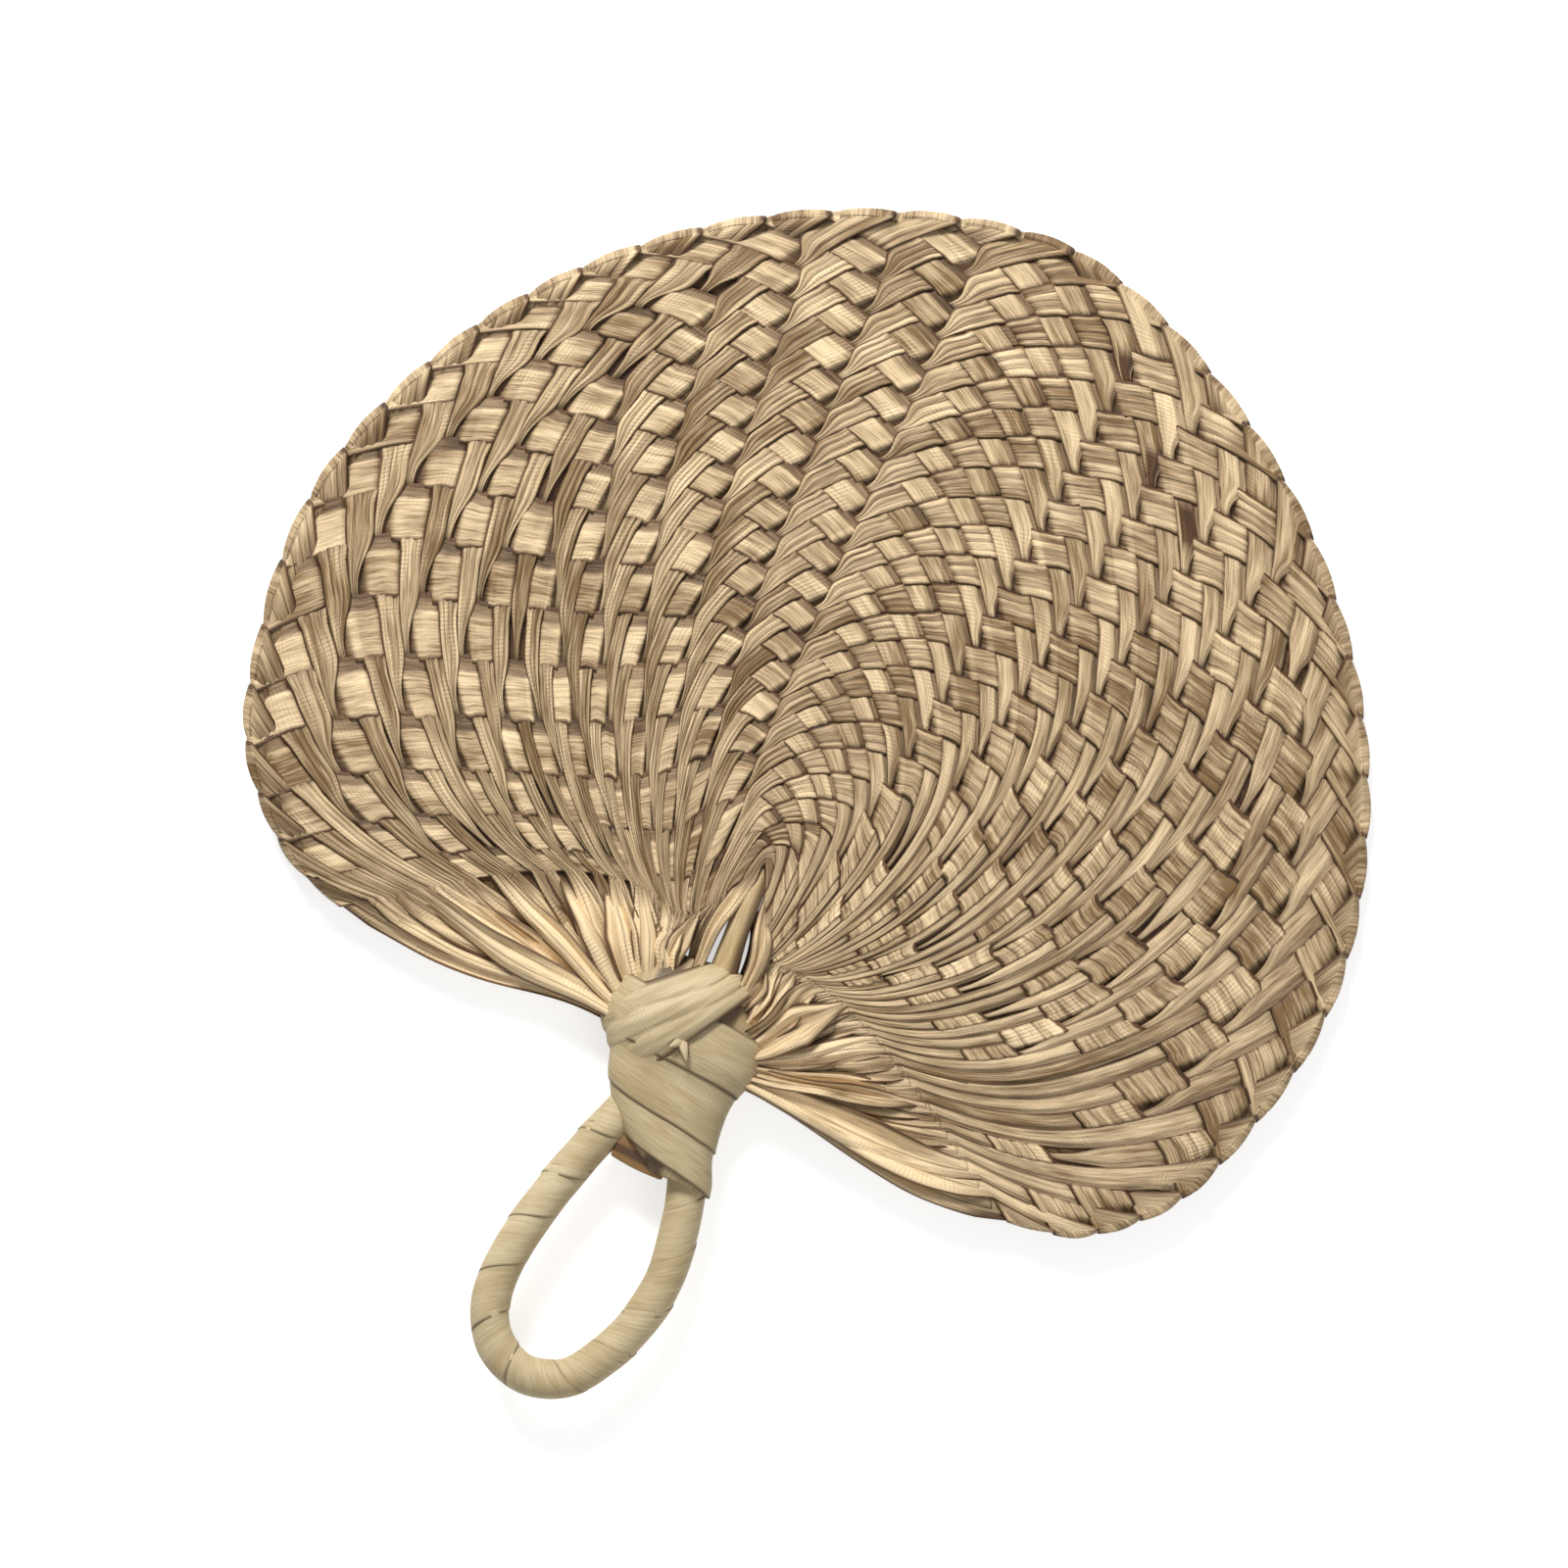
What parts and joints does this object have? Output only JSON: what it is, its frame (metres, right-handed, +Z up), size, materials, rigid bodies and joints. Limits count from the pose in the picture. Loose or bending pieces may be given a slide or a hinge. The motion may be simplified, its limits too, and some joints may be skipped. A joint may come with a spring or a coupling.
{
  "type": "palm leaf fan",
  "caption": "Heart-shaped hand fan plaited from folded palm leaf strips, gathered into a bound neck with a wrapped loop handle for the fingers.",
  "frame": {"origin": "on the surface the fan lies on, at the flat under the knob of its neck", "axes": "+Y along the fan from the handle to the tip of the blade, +Z up out of the pictured face, +X right"},
  "size_m": [0.3278, 0.3585, 0.0232],
  "materials": {
    "leaf_strip": "dry leaf, satin",
    "petiole": "smooth stalk",
    "neck_leaf": "dry leaf, satin",
    "cane": "bare cane",
    "handle_leaf": "dry leaf, satin",
    "bamboo": "split bamboo"
  },
  "bodies": {
    "root": {"leaf_strip_01": "leaf_strip", "leaf_strip_02": "leaf_strip", "leaf_strip_03": "leaf_strip", "leaf_strip_04": "leaf_strip", "leaf_strip_05": "leaf_strip", "leaf_strip_06": "leaf_strip", "leaf_strip_07": "leaf_strip", "leaf_strip_08": "leaf_strip", "leaf_strip_09": "leaf_strip", "leaf_strip_10": "leaf_strip", "leaf_strip_11": "leaf_strip", "leaf_strip_12": "leaf_strip", "leaf_strip_13": "leaf_strip", "leaf_strip_14": "leaf_strip", "leaf_strip_15": "leaf_strip", "leaf_strip_16": "leaf_strip", "leaf_strip_17": "leaf_strip", "leaf_strip_18": "leaf_strip", "leaf_strip_19": "leaf_strip", "leaf_strip_20": "leaf_strip", "leaf_strip_21": "leaf_strip", "leaf_strip_22": "leaf_strip", "leaf_strip_23": "leaf_strip", "leaf_strip_24": "leaf_strip", "leaf_strip_25": "leaf_strip", "leaf_strip_26": "leaf_strip", "leaf_strip_27": "leaf_strip", "leaf_strip_28": "leaf_strip", "leaf_strip_29": "leaf_strip", "leaf_strip_30": "leaf_strip", "leaf_strip_31": "leaf_strip", "leaf_strip_32": "leaf_strip", "leaf_strip_33": "leaf_strip", "leaf_strip_34": "leaf_strip", "leaf_strip_35": "leaf_strip", "leaf_strip_36": "leaf_strip", "leaf_strip_37": "leaf_strip", "leaf_strip_38": "leaf_strip", "leaf_strip_39": "leaf_strip", "leaf_strip_40": "leaf_strip", "leaf_strip_41": "leaf_strip", "leaf_strip_42": "leaf_strip", "leaf_strip_43": "leaf_strip", "leaf_strip_44": "leaf_strip", "petiole_stick": "petiole", "neck_knob": "neck_leaf", "knob_band": "neck_leaf", "neck_wrap": "neck_leaf", "handle_cane": "cane", "handle_wrap": "handle_leaf", "crotch_peg": "bamboo"}
  },
  "joints": []
}
